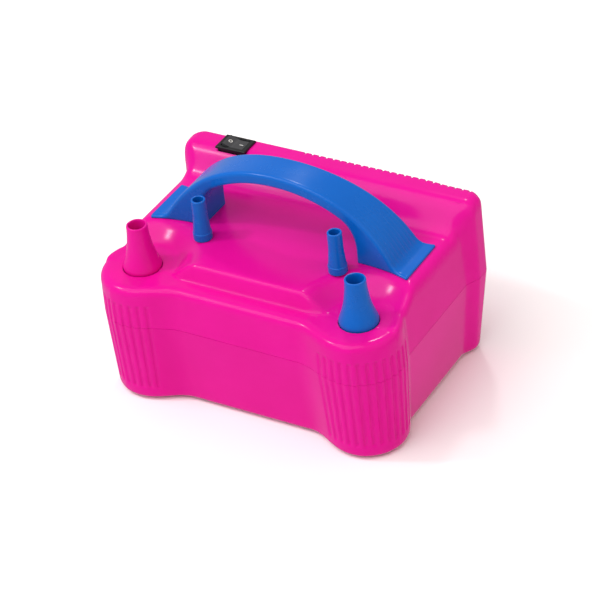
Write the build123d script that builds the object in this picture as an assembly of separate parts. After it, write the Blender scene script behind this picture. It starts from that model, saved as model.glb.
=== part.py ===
"""Electric balloon pump: a two-part moulded case with a strap handle, two air outlets on front turrets,
two spare slim nozzles, a rocker switch, and two motor-driven blowers inside.

Millimetres. +X to the right, +Y to the rear, +Z up. The origin is under the middle of the case, on the
plane that the rubber feet stand on. The right half is modelled, and the left half is its mirror image
where the two are alike.
"""
from build123d import *
import os
from math import cos, sin, radians, sqrt

os.makedirs("parts", exist_ok=True)

# ---------------------------------------------------------------- driving dimensions
WALL = 2.5                      # moulded wall thickness
CASE_Z = 1.2                    # underside of the case, above the feet plane
SPLIT_Z = 57.4                  # joint between the lower and upper shell
LEDGE_Z = 84.6                  # turret tops and the front ledge
PLATFORM_Z = 94.5               # platform under the handle
DECK_Z = 111.0                  # rear deck
HANDLE_Z = 143.6                # top of the handle

SIDE_X = (92.8, 98.5, 0.058)    # side wall: half width at the base, at the split, draft above the split
FRONT_Y = (56.3, 61.5, 0.070)   # front wall, as a distance in front of the origin
REAR_Y = (64.7, 70.2, 0.039)    # rear wall
PILLAR_X = (97.6, 103.1, 0.041)  # rear corner pillars, which stand proud of the side walls
TURRET_R = (25.0, 27.2, 0.022)  # turret radius
TURRET = (74.5, -43.0)          # turret axis
PILLAR_Y = 47.0                 # where the pillars start
PILLAR_R = 8.0
WEB_R = 10.0                    # soft corner between the front wall and a turret
BASE_EDGE, TOP_EDGE = 4.0, 5.0  # rounding of the base and of the turret tops

STEP_Y = (-47.8, -43.0)         # front step, from the ledge up to the platform
SLOPE_Y = (42.0, 52.5)          # rear slope, from the platform up to the deck
DISH_R = (24.5, 30.8)           # dish round each outlet: floor radius and radius at the platform

FLUTE_MID, FLUTE_STEP = -54.0, 11.6   # middle of the fluted arc and the step between flutes, in degrees
FLUTE_R, FLUTE_DEPTH = 2.6, 0.7
FLUTE_Z = (12.0, 75.0)

VENT_X = (-21.0, 95.0)          # run of notches along the rear top edge
VENT_STEP, VENT_WIDTH, VENT_DEPTH = 4.95, 1.3, 1.3
VENT_GROOVE_Z, VENT_SLOT_Z = 66.0, (72.0, 100.0)
VENT_SLOTS_END = 82.6           # X where the grooves stop being cut through

NOZZLE_HOLE_R = 12.8
NOZZLE_FLANGE_R = 14.2
STEM_R, STEM_FIT = 9.5, 0.05
SLIM = (46.7, -15.7)            # slim nozzle axis
PEG_R, PEG_HEIGHT, PEG_FIT = 4.1, 9.0, 0.05
SCREW_R, SMALL_SCREW_R, PILOT_R, BIG_PILOT_R = 1.7, 1.5, 1.55, 1.75

HANDLE_R = (90.0, 82.6)         # strap handle: outer and inner radius, about a level line
HANDLE_CENTRE_Z = 53.6
HANDLE_LEG_X, HANDLE_LIP_X = 53.0, 88.9   # inner face of a leg and end of a foot
HANDLE_LIP = 1.6                # thickness of the lip at a foot's end
HANDLE_REAR = (16.6, 22.8, 29.3)     # Y of its rear edge at the middle, at a leg and at a foot's end
HANDLE_FRONT = (-5.4, -4.6, -9.8)    # the same for its front edge
HANDLE_SCREW_Z = PLATFORM_Z - WALL

SWITCH = (-66.4, 60.0)          # centre of the rocker switch
SWITCH_BEZEL = (21.0, 15.0)
SWITCH_CUT = (19.2, 13.0)
ROCKER_TILT = 10.0              # degrees each way from level
ROCKER_PIVOT_Z = DECK_Z - 1.0

BLOWER = (46.0, 10.0)           # motor axis
SHAFT_R, BEARING_FIT = 3.0, 0.04
HOUSING_Z = (11.0, 33.0)
SCROLL_R = (29.0, 39.5)         # scroll radius at the tongue and at the outlet
TONGUE_DEG = 50.0
OUTLET_Y, OUTLET_X = -28.0, 17.5
DUCT_Z = 22.0
DUCT_R, RISER_R, DUCT_WALL = 8.8, 10.7, 2.0
MOUNTS = ((-34.0, -24.0), (-30.0, 32.0), (30.0, 36.0))
STATOR_Z = (46.0, 64.0)
COMMUTATOR_Z = (70.0, 77.5)
TOP_BEARING_Z = (80.5, 84.5)
BRACKET_Z = TOP_BEARING_Z[1] + 0.8
POLE_GAP = 0.6                  # air gap between the armature and the poles
ARMATURE_R = 13.5
STUDS = ((18.5, 18.5), (18.5, -18.5))     # motor screws, on both sides of the axis

CASE_SCREWS = ((36.0, -50.0), (91.0, 59.0), (20.0, 60.0))
HANDLE_SCREWS = ((68.0, 2.0), (68.0, 18.0))
FEET = ((82.0, 48.0), (74.5, -43.0))
FOOT_R, FOOT_POCKET = 7.0, 0.9
GLAND = (-50.0, 30.0)           # X and Z of the cord gland in the rear wall
LEVER_PIVOT = (42.0, TURRET[1], 77.0)
LEVER_REST = 10.0               # degrees that the microswitch lever stands up at rest
GRILLE_R, GRILLE_PITCH, GRILLE_HALF = 19.0, 5.0, 1.1   # slots in the floor under each fan

UP = (Align.CENTER, Align.CENTER, Align.MIN)


# ---------------------------------------------------------------- small helpers
def rod(r, z0, z1, x=0.0, y=0.0):
    """Vertical cylinder from z0 to z1."""
    return Pos(x, y, z0) * Cylinder(r, z1 - z0, align=UP)


def tube(r_out, r_in, z0, z1, x=0.0, y=0.0):
    return rod(r_out, z0, z1, x, y) - rod(r_in, z0 - 1, z1 + 1, x, y)


def block(x0, x1, y0, y1, z0, z1):
    return Pos((x0 + x1) / 2, (y0 + y1) / 2, (z0 + z1) / 2) * Box(x1 - x0, y1 - y0, z1 - z0)


def cone(r0, r1, z0, z1, x=0.0, y=0.0):
    return Pos(x, y, z0) * Cone(r0, r1, z1 - z0, align=UP)


def outline(points, radii):
    """Closed flat outline with its corners rounded."""
    return make_face(FilletPolyline(*points, radius=radii, close=True))


def turned(points, radii=None, x=0.0, y=0.0):
    """Solid of revolution about a vertical axis, from points given as (radius, height)."""
    face = outline(points, radii) if radii else make_face(Polyline(*points, close=True))
    return Pos(x, y, 0) * revolve(Plane.XZ * face, Axis.Z)


def both_sides(points):
    return [(s * x, y) for x, y in points for s in (1, -1)]


def group(parts):
    """Separate solids kept in one node."""
    return Compound(children=[s for p in parts for s in p.solids()])


def mirrored(part):
    return mirror(part, about=Plane.YZ)


def screw(x, y, z_head, z_tip, shank_r=SCREW_R, head_r=3.2, head_h=2.4):
    """Pan-head screw. The head's bearing face is at z_head and the tip at z_tip, above or below it."""
    sign = 1 if z_tip > z_head else -1
    low, high = sorted((z_head, z_tip))
    shank = rod(shank_r, low, high, x, y)
    low, high = sorted((z_head, z_head - sign * head_h))
    head = rod(head_r, low, high, x, y)
    end = z_head - sign * head_h
    low, high = sorted((end, end + sign * 1.2))
    cross = block(x - 2, x + 2, y - 0.4, y + 0.4, low, high)
    cross += block(x - 0.4, x + 0.4, y - 2, y + 2, low, high)
    return shank + head - cross


# ---------------------------------------------------------------- case outline
def at(wall, z):
    """Distance of a drafted wall from the origin at height z."""
    base, split, draft = wall
    if z <= SPLIT_Z:
        return base + (split - base) * (z - CASE_Z) / (SPLIT_Z - CASE_Z)
    return split - draft * (z - SPLIT_Z)


def drafted(box_at, z0, z1, corner=0.0):
    """Straight-sided solid between two levels. box_at(z) gives (x0, x1, y0, y1) at a level."""
    faces = []
    for z in (z0, z1):
        x0, x1, y0, y1 = box_at(z)
        shape = Rectangle(x1 - x0, y1 - y0)
        if corner:
            shape = RectangleRounded(x1 - x0, y1 - y0, corner)
        faces.append(Pos((x0 + x1) / 2, (y0 + y1) / 2, z) * shape)
    return loft(faces, ruled=True)


def softened(part, edges, radii):
    """Rounds the edges with the first radius that the shape allows."""
    for r in radii:
        try:
            return fillet(edges, r)
        except Exception:
            continue
    return part


def rim(part, end):
    """Edges of the part's lowest (0) or highest (-1) level."""
    return part.edges().group_by(Axis.Z)[end]


def middle(inset, z0, z1):
    return drafted(lambda z: (-at(SIDE_X, z) + inset, at(SIDE_X, z) - inset, TURRET[1],
                              at(REAR_Y, z) - inset), z0, z1)


def front(inset, z0, z1):
    return drafted(lambda z: (-TURRET[0], TURRET[0], -at(FRONT_Y, z) + inset, -30.0), z0, z1)


def pillar(inset, z0, z1):
    return drafted(lambda z: (70.0, at(PILLAR_X, z) - inset, PILLAR_Y + inset, at(REAR_Y, z) - inset),
                   z0, z1, PILLAR_R - inset)


def turret(inset, z0, z1):
    return cone(at(TURRET_R, z0) - inset, at(TURRET_R, z1) - inset, z0, z1, *TURRET)


def web(z0, z1):
    """Fills the corner between the front wall and the turret with a soft concave radius."""
    faces = []
    for z in (z0, z1):
        wall, r = -at(FRONT_Y, z), at(TURRET_R, z)
        cy = wall - WEB_R
        cx = TURRET[0] - sqrt((r + WEB_R) ** 2 - (cy - TURRET[1]) ** 2)
        reach = r / (r + WEB_R)
        foot = (cx, wall)
        touch = (TURRET[0] + (cx - TURRET[0]) * reach, TURRET[1] + (cy - TURRET[1]) * reach)
        half = Vector(foot[0] + touch[0] - 2 * cx, foot[1] + touch[1] - 2 * cy).normalized() * WEB_R
        inner = (touch[0] + 4.0, wall + 4.0)
        edges = [ThreePointArc(foot, (cx + half.X, cy + half.Y), touch), Polyline(touch, inner, foot)]
        faces.append(Pos(0, 0, z) * make_face(edges))
    return loft(faces, ruled=True)


def dish(inset):
    """Bowl cut in the platform round an outlet, with a soft foot and a soft rim."""
    low, high = LEDGE_Z - inset, PLATFORM_Z - inset
    points = [(0, low), (DISH_R[0] + inset, low), (DISH_R[1] + inset, high),
              (DISH_R[1] + 12, high), (DISH_R[1] + 12, high + 30), (0, high + 30)]
    return turned(points, [0, 4, 4, 0, 0, 0], *TURRET)


def roof(inset):
    """Side profile of the top: ledge, step, platform, slope and deck."""
    d = inset
    points = [(-90, 40), (-90, LEDGE_Z - d), (STEP_Y[0] + 0.6 * d, LEDGE_Z - d),
              (STEP_Y[1] + 0.6 * d, PLATFORM_Z - d), (SLOPE_Y[0] + 0.5 * d, PLATFORM_Z - d),
              (SLOPE_Y[1] + 0.5 * d, DECK_Z - d), (90, DECK_Z - d), (90, 40)]
    face = outline(points, [0, 0, 3, 3, 5, 5, 0, 0])
    return extrude(Plane.YZ * face, amount=120, both=True)


def upper_form(inset):
    """Outer form of the case above the split, or its cavity when inset."""
    z0, soft = SPLIT_Z, inset == 0
    ledge_z, platform_z, deck_z = LEDGE_Z - inset, PLATFORM_Z - inset, DECK_Z - inset
    corner = pillar(inset, z0, deck_z)
    rear = middle(inset, z0, deck_z) + corner + mirrored(corner)
    low = middle(inset, z0, platform_z)
    round_tower = turret(inset, z0, ledge_z)
    if soft:
        rear = softened(rear, rim(rear, -1), (5, 4, 3))
        low = softened(low, [e for e in rim(low, -1) if abs(e.center().X) > 50], (6, 5, 4))
        round_tower += web(z0, ledge_z)
    ledge = front(inset, z0, ledge_z) + round_tower + mirrored(round_tower)
    if soft:
        outer = [e for e in rim(ledge, -1) if e.center().Y < -31]
        ledge = softened(ledge, outer, (TOP_EDGE, 4, 3))
    step = front(inset, z0, platform_z) & block(-200, 200, STEP_Y[0] - 1, 0, 0, 200)
    low = (low + step) & roof(inset)
    rear = rear & roof(inset) & block(-120, 120, SLOPE_Y[0] - 12, 90, 0, 130)
    bowl = dish(inset)
    return low + rear + ledge - bowl - mirrored(bowl)


def lower_form(inset):
    z0, soft = CASE_Z + inset, inset == 0
    masses = [middle(inset, z0, SPLIT_Z), front(inset, z0, SPLIT_Z), pillar(inset, z0, SPLIT_Z),
              turret(inset, z0, SPLIT_Z)]
    if soft:
        masses = [softened(m, rim(m, 0), (BASE_EDGE, 3, 2)) for m in masses]
        masses.append(web(z0 + BASE_EDGE + 0.5, SPLIT_Z))
    form = masses[0]
    for mass in masses[1:]:
        form = form + mass + mirrored(mass)
    return form


def flutes(z0, z1):
    """Shallow vertical grooves round the outer side of a turret, between two levels."""
    r0 = at(TURRET_R, z0) + FLUTE_R - FLUTE_DEPTH
    r1 = at(TURRET_R, z1) + FLUTE_R - FLUTE_DEPTH
    cutters = []
    for i in range(-6, 7):
        a = radians(FLUTE_MID + i * FLUTE_STEP)
        low = Vector(TURRET[0] + r0 * cos(a), TURRET[1] + r0 * sin(a), z0)
        high = Vector(TURRET[0] + r1 * cos(a), TURRET[1] + r1 * sin(a), z1)
        axis = Plane(origin=low, z_dir=high - low)
        cutters.append(axis * Cylinder(FLUTE_R, (high - low).length, align=UP))
    return cutters + [mirrored(c) for c in cutters]


# ---------------------------------------------------------------- case
def upper_shell():
    shell = upper_form(0) - upper_form(WALL)
    shell -= flutes(SPLIT_Z, FLUTE_Z[1])
    for x, y in both_sides(CASE_SCREWS):
        top = LEDGE_Z if y < 0 else DECK_Z
        shell += rod(4.5, SPLIT_Z, top - 1.0, x, y)
        shell -= rod(BIG_PILOT_R, SPLIT_Z - 1, SPLIT_Z + 16, x, y)
    for x, y in both_sides(HANDLE_SCREWS):
        shell -= rod(BIG_PILOT_R, PLATFORM_Z - 6, PLATFORM_Z + 1, x, y)
    for x, y in both_sides([TURRET]):
        shell -= rod(NOZZLE_HOLE_R, LEDGE_Z - 6, LEDGE_Z + 1, x, y)
    for x, y in both_sides([SLIM]):
        shell += rod(PEG_R, PLATFORM_Z - 1, PLATFORM_Z + PEG_HEIGHT, x, y)
        shell -= rod(PEG_R - 1.6, PLATFORM_Z - 4, PLATFORM_Z + PEG_HEIGHT - 1.6, x, y)
    shell -= Pos(*SWITCH, DECK_Z - 8) * Box(*SWITCH_CUT, 20)
    cutters = []
    count = int((VENT_X[1] - VENT_X[0]) / VENT_STEP) + 1
    groove_y = REAR_Y[1] - VENT_DEPTH - 1.2
    for i in range(count):
        x0 = VENT_X[0] + i * VENT_STEP - VENT_WIDTH / 2
        x1 = x0 + VENT_WIDTH
        cutters.append(block(x0, x1, groove_y, 80, VENT_GROOVE_Z, DECK_Z + 1))
        if x1 < VENT_SLOTS_END:
            cutters.append(block(x0, x1, 62, 80, *VENT_SLOT_Z))
    for x, y in both_sides(CASE_SCREWS):
        cutters = [c - rod(4.5, 50, 120, x, y) if abs(c.center().X - x) < 8 else c for c in cutters]
    return shell - cutters


def lower_shell():
    shell = lower_form(0) - lower_form(WALL)
    lip = lower_form(WALL + 0.1) - lower_form(WALL + 1.4)
    shell += lip & block(-120, 120, -90, 90, SPLIT_Z - 5, SPLIT_Z)
    tongue = upper_form(WALL + 0.1) - upper_form(WALL + 1.4)
    shell += tongue & block(-120, 120, -90, 90, SPLIT_Z, SPLIT_Z + 3)
    shell -= flutes(FLUTE_Z[0], SPLIT_Z)
    for x, y in both_sides(CASE_SCREWS):
        shell += rod(5.2, CASE_Z + 1, SPLIT_Z, x, y)
        shell -= rod(3.6, 0, 45, x, y)
        shell -= rod(BIG_PILOT_R, 44, SPLIT_Z + 5, x, y)
        shell -= tube(9.0, 5.2, SPLIT_Z - 6, SPLIT_Z + 4, x, y) & block(-86, 86, -52, 56, 0, 90)
        shell -= rod(4.6, SPLIT_Z, SPLIT_Z + 5, x, y)
    for x, y in both_sides(FEET):
        shell -= rod(FOOT_R + 0.1, 0, CASE_Z + FOOT_POCKET, x, y)
    for dx, dy in MOUNTS:
        for s in (1, -1):
            x, y = s * (BLOWER[0] + dx), BLOWER[1] + dy
            shell += rod(4.0, CASE_Z + 1, HOUSING_Z[0] - 2.5, x, y)
            shell -= rod(PILOT_R, CASE_Z + 1.3, HOUSING_Z[0], x, y)
    slots = []
    for s in (1, -1):
        for i in range(-3, 4):
            half = sqrt(GRILLE_R ** 2 - (i * GRILLE_PITCH) ** 2)
            x, y = s * BLOWER[0] + i * GRILLE_PITCH, BLOWER[1]
            slots.append(block(x - GRILLE_HALF, x + GRILLE_HALF, y - half, y + half, 0, CASE_Z + WALL + 1))
    shell -= slots
    shell -= gland_rod(5.0, 60, 80)
    return max(shell.solids(), key=lambda solid: solid.volume)


def gland_rod(r, y0, y1):
    return Pos(GLAND[0], (y0 + y1) / 2, GLAND[1]) * Rot(90, 0, 0) * Cylinder(r, y1 - y0)


def cord_gland():
    """Rubber bush clipped in the rear wall, open for a mains cord."""
    y_out = at(REAR_Y, GLAND[1])
    wall = lower_form(0) - lower_form(WALL) - gland_rod(5.0, 50, 80)
    bush = gland_rod(5.0, y_out - 6.0, y_out + 2.2) + gland_rod(7.5, y_out - 6.0, y_out + 2.2)
    return bush - wall - gland_rod(3.4, 50, 80)


def handle():
    """Strap arch: a circular top, a concentric underside, and upright inner leg faces."""
    r_out, r_in = HANDLE_R
    leg_x, lip_x = HANDLE_LEG_X, HANDLE_LIP_X
    inner_z = HANDLE_CENTRE_Z + sqrt(r_in ** 2 - leg_x ** 2)
    disc = Pos(0, HANDLE_CENTRE_Z) * Circle(r_out)
    ring = disc - Pos(0, HANDLE_CENTRE_Z) * Circle(r_in)
    lip = Pos(0, PLATFORM_Z + HANDLE_LIP / 2) * Rectangle(2 * lip_x, HANDLE_LIP)
    legs = disc + lip - Rectangle(2 * leg_x, 400)
    half = Pos(0, PLATFORM_Z + 100) * Rectangle(400, 200)
    side = Sketch() + ((ring + legs) & half).faces()
    corners = [v for v in side.vertices() if abs(abs(v.X) - leg_x) < 0.01 and abs(v.Y - inner_z) < 0.5]
    side = fillet(corners, 9.0) if corners else side
    arch = extrude(Plane.XZ * side, amount=60, both=True)
    stations = (0.0, leg_x, lip_x)
    rear = list(zip(stations, HANDLE_REAR))
    front = list(zip(stations, HANDLE_FRONT))
    rear_edge = Spline(*[(-x, y) for x, y in rear[:0:-1]], *rear)
    front_edge = Spline(*front[:0:-1], *[(-x, y) for x, y in front])
    ends = [Line(rear[-1], front[-1]), Line((-front[-1][0], front[-1][1]), (-rear[-1][0], rear[-1][1]))]
    plan = extrude(make_face([rear_edge, front_edge] + ends), amount=200)
    arch = arch & plan
    long_edges = [e for e in arch.edges() if e.length > 60 and e.center().Z > PLATFORM_Z + 5]
    arch = softened(arch, long_edges, (1.6, 1.2, 0.8))
    for x, y in both_sides(HANDLE_SCREWS):
        arch -= rod(BIG_PILOT_R, PLATFORM_Z - 1, PLATFORM_Z + 10, x, y)
    return arch


def case_screws():
    return group([screw(x, y, 45, SPLIT_Z + 14) for x, y in both_sides(CASE_SCREWS)])


def handle_screws():
    tip = PLATFORM_Z + 9
    return group([screw(x, y, HANDLE_SCREW_Z, tip, SCREW_R, 3.0, 1.8) for x, y in both_sides(HANDLE_SCREWS)])


def rubber_feet():
    feet = []
    for x, y in both_sides(FEET):
        foot = rod(FOOT_R, 0, CASE_Z + FOOT_POCKET, x, y)
        foot = fillet(foot.edges().group_by(Axis.Z)[0], 0.7)
        feet.append(foot)
    return group(feet)


# ---------------------------------------------------------------- nozzles
def nozzle_bell(stem_z, bore_r=5.0):
    """Bell-shaped outlet, standing on its turret, with a stem down to stem_z and an open bore."""
    z = LEDGE_Z
    flange = (z - 4.2, z - 2.7)
    base = Polyline((12.0, flange[1]), (12.4, z + 0.4))
    bell = Spline((12.4, z + 0.4), (11.8, z + 4.0), (9.3, z + 12.5), (7.3, z + 21.5), (6.5, z + 29.2),
                  tangents=[(0.05, 1), (0, 1)])
    rim_arc = ThreePointArc((6.5, z + 29.2), (5.9, z + 30.0), (5.3, z + 29.6))
    inside = Polyline((5.3, z + 29.6), (bore_r, z + 28.6), (bore_r, z + 12.0), (8.0, z + 2.0), (8.0, stem_z),
                      (STEM_R, stem_z), (STEM_R, flange[0]), (NOZZLE_FLANGE_R, flange[0]),
                      (NOZZLE_FLANGE_R, flange[1]), (12.0, flange[1]))
    face = make_face([base, bell, rim_arc, inside])
    return Pos(*TURRET, 0) * revolve(Plane.XZ * face, Axis.Z)


def left_nozzle():
    return mirrored(nozzle_bell(66.0))


def right_nozzle():
    """The press nozzle, with a tab on its flange that works the microswitch."""
    x, y = TURRET
    return nozzle_bell(62.0) + block(x - 17.5, x - 11.0, y - 2.5, y + 2.5, LEDGE_Z - 4.2, LEDGE_Z - 2.7)


def right_nozzle_guide():
    x, y = TURRET
    sleeve = rod(10.6, 58, 74, x, y) + rod(13.2, 70, 72, x, y)
    return sleeve - rod(STEM_R + STEM_FIT, 50, 80, x, y)


def right_nozzle_spring():
    wire_r, coil_r, z0, z1 = 0.55, 11.7, 72.0, LEDGE_Z - 4.2
    height = z1 - z0 - 2 * wire_r
    path = Helix(pitch=height / 4.0, height=height, radius=coil_r, center=(0, 0, z0 + wire_r))
    section = Plane(origin=path @ 0, z_dir=path % 0) * Circle(wire_r)
    return Pos(*TURRET, 0) * sweep(section, path=path, is_frenet=True)


def slim_nozzle():
    z = PLATFORM_Z
    points = [(PEG_R + PEG_FIT, z + 0.1), (5.9, z + 0.1), (5.9, z + 5.0), (5.6, z + 5.3), (5.2, z + 9.0),
              (4.6, z + 16.0), (4.5, z + 28.0), (3.2, z + 28.0), (3.2, z + 12.0), (PEG_R + PEG_FIT, z + 10.2)]
    return turned(points, [0, 0.5, 0.2, 0.2, 8, 12, 0.6, 0.5, 0, 0], *SLIM)


# ---------------------------------------------------------------- switches
def switch_body():
    bezel = Pos(*SWITCH, DECK_Z + 0.75) * Box(*SWITCH_BEZEL, 1.5)
    bezel = fillet(bezel.edges().group_by(Axis.Z)[-1], 0.6)
    body = Pos(*SWITCH, DECK_Z - 8.5) * Box(SWITCH_CUT[0] - 0.4, SWITCH_CUT[1] - 0.4, 17)
    well = Pos(*SWITCH, DECK_Z - 3.0) * Box(16.0, 10.6, 11)
    bore = Pos(*SWITCH, ROCKER_PIVOT_Z) * Rot(90, 0, 0) * Cylinder(1.05, 11.8)
    return bezel + body - well - bore


def switch_rocker():
    """Rocker shown with its right end pressed."""
    points = [(-7.2, 3.4), (0, 1.9), (7.2, 3.4), (6.2, -4.0), (-6.2, -4.0)]
    side = outline(points, [0.5, 9, 0.5, 0.5, 0.5])
    rocker = extrude(Plane.XZ * side, amount=5.1, both=True)
    rocker += Rot(90, 0, 0) * Cylinder(1.0, 11.6)
    return Pos(*SWITCH, ROCKER_PIVOT_Z) * Rot(0, ROCKER_TILT, 0) * rocker


def switch_terminals():
    x, y = SWITCH
    tops = [x + dx for dx in (-7, 0, 7)]
    return group([block(x0 - 0.4, x0 + 0.4, y - 2.4, y + 2.4, DECK_Z - 26, DECK_Z - 17) for x0 in tops])


def microswitch_body():
    y = TURRET[1]
    body = block(40, 60, y - 3.2, y + 3.2, 66, 76)
    ears = block(40.8, 43.2, y - 3.2, y - 2.2, 76, 78) + block(40.8, 43.2, y + 2.2, y + 3.2, 76, 78)
    body += ears
    body -= Pos(*LEVER_PIVOT) * Rot(90, 0, 0) * Cylinder(0.65, 8)
    body -= rod(1.05, 73.5, 77, 47, y)
    for x in (44.5, 55.5):
        body -= Pos(x, y, 69.5) * Rot(90, 0, 0) * Cylinder(1.2, 8)
    return body


def microswitch_lever():
    strip = block(0, 18.2, -2.0, 2.0, -0.2, 0.2)
    lever = Rot(0, -LEVER_REST, 0) * strip + Rot(90, 0, 0) * Cylinder(0.6, 6.2)
    return Pos(*LEVER_PIVOT) * lever


def microswitch_plunger():
    return rod(1.0, 74.9, 77.5, 47, TURRET[1])


def microswitch_terminals():
    y = TURRET[1]
    return group([block(x - 0.25, x + 0.25, y - 1.6, y + 1.6, 61, 66) for x in (42.5, 50.0, 57.5)])


# ---------------------------------------------------------------- blower unit, on its own axis
def scroll_outline(wall):
    """Plan of the scroll, widening clockwise from the tongue to the outlet, grown outwards by wall."""
    span = 360.0 - TONGUE_DEG
    points = []
    for i in range(11):
        t = i / 10
        r = SCROLL_R[0] + (SCROLL_R[1] - SCROLL_R[0]) * t + wall
        a = radians(-TONGUE_DEG - span * t)
        points.append((r * cos(a), r * sin(a)))
    spiral = make_face([Spline(*points), Line(points[-1], points[0])])
    width = SCROLL_R[1] + wall - (OUTLET_X - wall)
    channel = Pos(SCROLL_R[1] + wall - width / 2, OUTLET_Y / 2) * Rectangle(width, -OUTLET_Y)
    return spiral + channel


def fan_housing():
    z0, z1 = HOUSING_Z
    body = extrude(Pos(0, 0, z0) * scroll_outline(2.0), amount=z1 - 2 - z0, dir=(0, 0, 1))
    cavity = extrude(Pos(0, 0, z0 + 2) * scroll_outline(0.0), amount=z1, dir=(0, 0, 1))
    cavity -= block(OUTLET_X - 1, 60, OUTLET_Y - 5, OUTLET_Y + 2, 0, 60)
    body = body - cavity - rod(15.0, 0, z0 + 5)
    outlet_x = TURRET[0] - BLOWER[0]
    body -= Pos(outlet_x, OUTLET_Y, DUCT_Z) * Rot(90, 0, 0) * Cylinder(DUCT_R, 8)
    for x, y in MOUNTS:
        reach = 0.86
        lug = rod(5.0, z0, z0 + 2.5, x, y)
        along = Plane(origin=(x * reach, y * reach, z0 + 1.25), x_dir=(x, y, 0), z_dir=(0, 0, 1))
        body += (lug + along * Box(10, 7, 2.5)) - cavity
        body -= rod(1.6, z0 - 1, z0 + 4, x, y)
    return body


def housing_cover():
    """Lid of the scroll, with the lower bearing seat and four posts that carry the motor."""
    z0, z1 = HOUSING_Z
    plate = extrude(Pos(0, 0, z1 - 2) * scroll_outline(2.0), amount=2.5, dir=(0, 0, 1))
    plate += rod(9.0, z1, z1 + 7.5)
    plate -= rod(6.5, z1 + 1.5, z1 + 9)
    plate -= rod(4.0, z0, z1 + 3)
    for x, y in both_sides(STUDS):
        plate += rod(3.4, z1, STATOR_Z[0], x, y)
        plate -= rod(PILOT_R, z1 + 1, STATOR_Z[0] + 1, x, y)
    return plate


def outlet_duct(top_z, switch_plate):
    """Horizontal run from the scroll and a riser up the turret."""
    x, y = TURRET
    y0 = BLOWER[1] + OUTLET_Y
    run = Pos(x, (y0 + y) / 2, DUCT_Z) * Rot(90, 0, 0) * Cylinder(DUCT_R + DUCT_WALL, y0 - y)
    riser = rod(RISER_R + DUCT_WALL, DUCT_Z - 9, top_z, x, y)
    if switch_plate:
        plate = block(40, x - RISER_R - 0.5, y + 3.2, y + 5.7, 60, 70)
        for px in (44.5, 55.5):
            plate += Pos(px, y + 1.4, 69.5) * Rot(90, 0, 0) * Cylinder(1.2, 4.0)
        riser += plate
    duct = run + riser
    duct -= Pos(x, (y0 + y) / 2 + 0.5, DUCT_Z) * Rot(90, 0, 0) * Cylinder(DUCT_R, y0 - y + 1)
    return duct - rod(RISER_R, DUCT_Z - 7, top_z + 1, x, y)


def impeller():
    """Closed centrifugal wheel with backward-curved blades."""
    z0, z1 = HOUSING_Z[0] + 3.2, HOUSING_Z[1] - 3.4
    blades = Sketch()
    arc = (Pos(15, 10) * Circle(17.0)) - (Pos(15, 10) * Circle(15.9))
    zone = (Circle(26.6) - Circle(10.0)) & (Pos(25, -14) * Rectangle(50, 46))
    blade = arc & zone
    blade = max(blade.faces(), key=lambda f: f.area)
    for i in range(9):
        blades += Rot(0, 0, 40 * i) * blade
    wheel = extrude(Pos(0, 0, z0 + 1.0) * blades, amount=z1 - z0 - 2.0)
    wheel += rod(27.0, z1 - 1.4, z1)
    wheel += tube(27.0, 15.5, z0, z0 + 1.4)
    wheel += cone(4.6, 9.0, z0 + 2.0, z1 - 1.0)
    return wheel - rod(SHAFT_R, 0, 60)


def impeller_nut():
    z0 = HOUSING_Z[0] + 3.2
    nut = extrude(Pos(0, 0, z0 - 0.8) * RegularPolygon(4.6, 6), amount=2.8)
    return nut - rod(SHAFT_R, 0, 60)


def motor_shaft():
    return rod(SHAFT_R, HOUSING_Z[0] + 1.8, TOP_BEARING_Z[1] + 1)


def armature_core():
    teeth = Circle(ARMATURE_R) - Circle(SHAFT_R)
    for i in range(11):
        slot = Pos(ARMATURE_R - 3.0, 0) * Circle(1.5) + Pos(ARMATURE_R - 1, 0) * Rectangle(3.0, 1.2)
        teeth -= Rot(0, 0, 360 / 11 * i) * slot
    return extrude(Pos(0, 0, STATOR_Z[0]) * teeth, amount=STATOR_Z[1] - STATOR_Z[0])


def armature_winding():
    """Bundled end turns of the armature coils, above and below the core."""
    low, high = STATOR_Z
    r = SHAFT_R + 0.6
    lower = turned([(r, low), (r, low - 3.6), (9.5, low - 3.6), (12.0, low)], [0, 1, 2, 0])
    upper = turned([(r, high), (12.0, high), (9.5, high + 4.4), (r, high + 4.4)], [0, 0, 2, 1])
    return group([lower, upper])


def commutator():
    z0, z1 = COMMUTATOR_Z
    drum = rod(8.0, z0, z1) + rod(8.9, z0 - 1.2, z0) - rod(SHAFT_R, z0 - 3, z1 + 3)
    cuts = [Rot(0, 0, 360 / 22 * i) * block(7.2, 9.5, -0.2, 0.2, z0, z1 + 1) for i in range(22)]
    return drum - cuts


def bearings():
    low = HOUSING_Z[1] + 1.5
    seats = [(6.5, low, low + 5.0), (6.5, *TOP_BEARING_Z)]
    return group([tube(r, SHAFT_R + BEARING_FIT, z0, z1) for r, z0, z1 in seats])


def stator_core():
    """Laminated two-pole stack: square yoke with two poles that curve round the armature."""
    bore = ARMATURE_R + POLE_GAP
    yoke = RectangleRounded(50, 46, 4) - RectangleRounded(39, 35, 3)
    poles = (Circle(bore + 3.2) - Circle(bore)) & (Rectangle(20, 60))
    necks = Rectangle(9, 40) - Circle(bore + 1.5)
    holes = Sketch() + [Pos(x, y) * Circle(PILOT_R) for x, y in both_sides(STUDS)]
    pads = Sketch() + [Pos(x, y) * Circle(3.4) for x, y in both_sides(STUDS)]
    plan = yoke + poles + necks + pads - holes
    return extrude(Pos(0, 0, STATOR_Z[0]) * plan, amount=STATOR_Z[1] - STATOR_Z[0])


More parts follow.
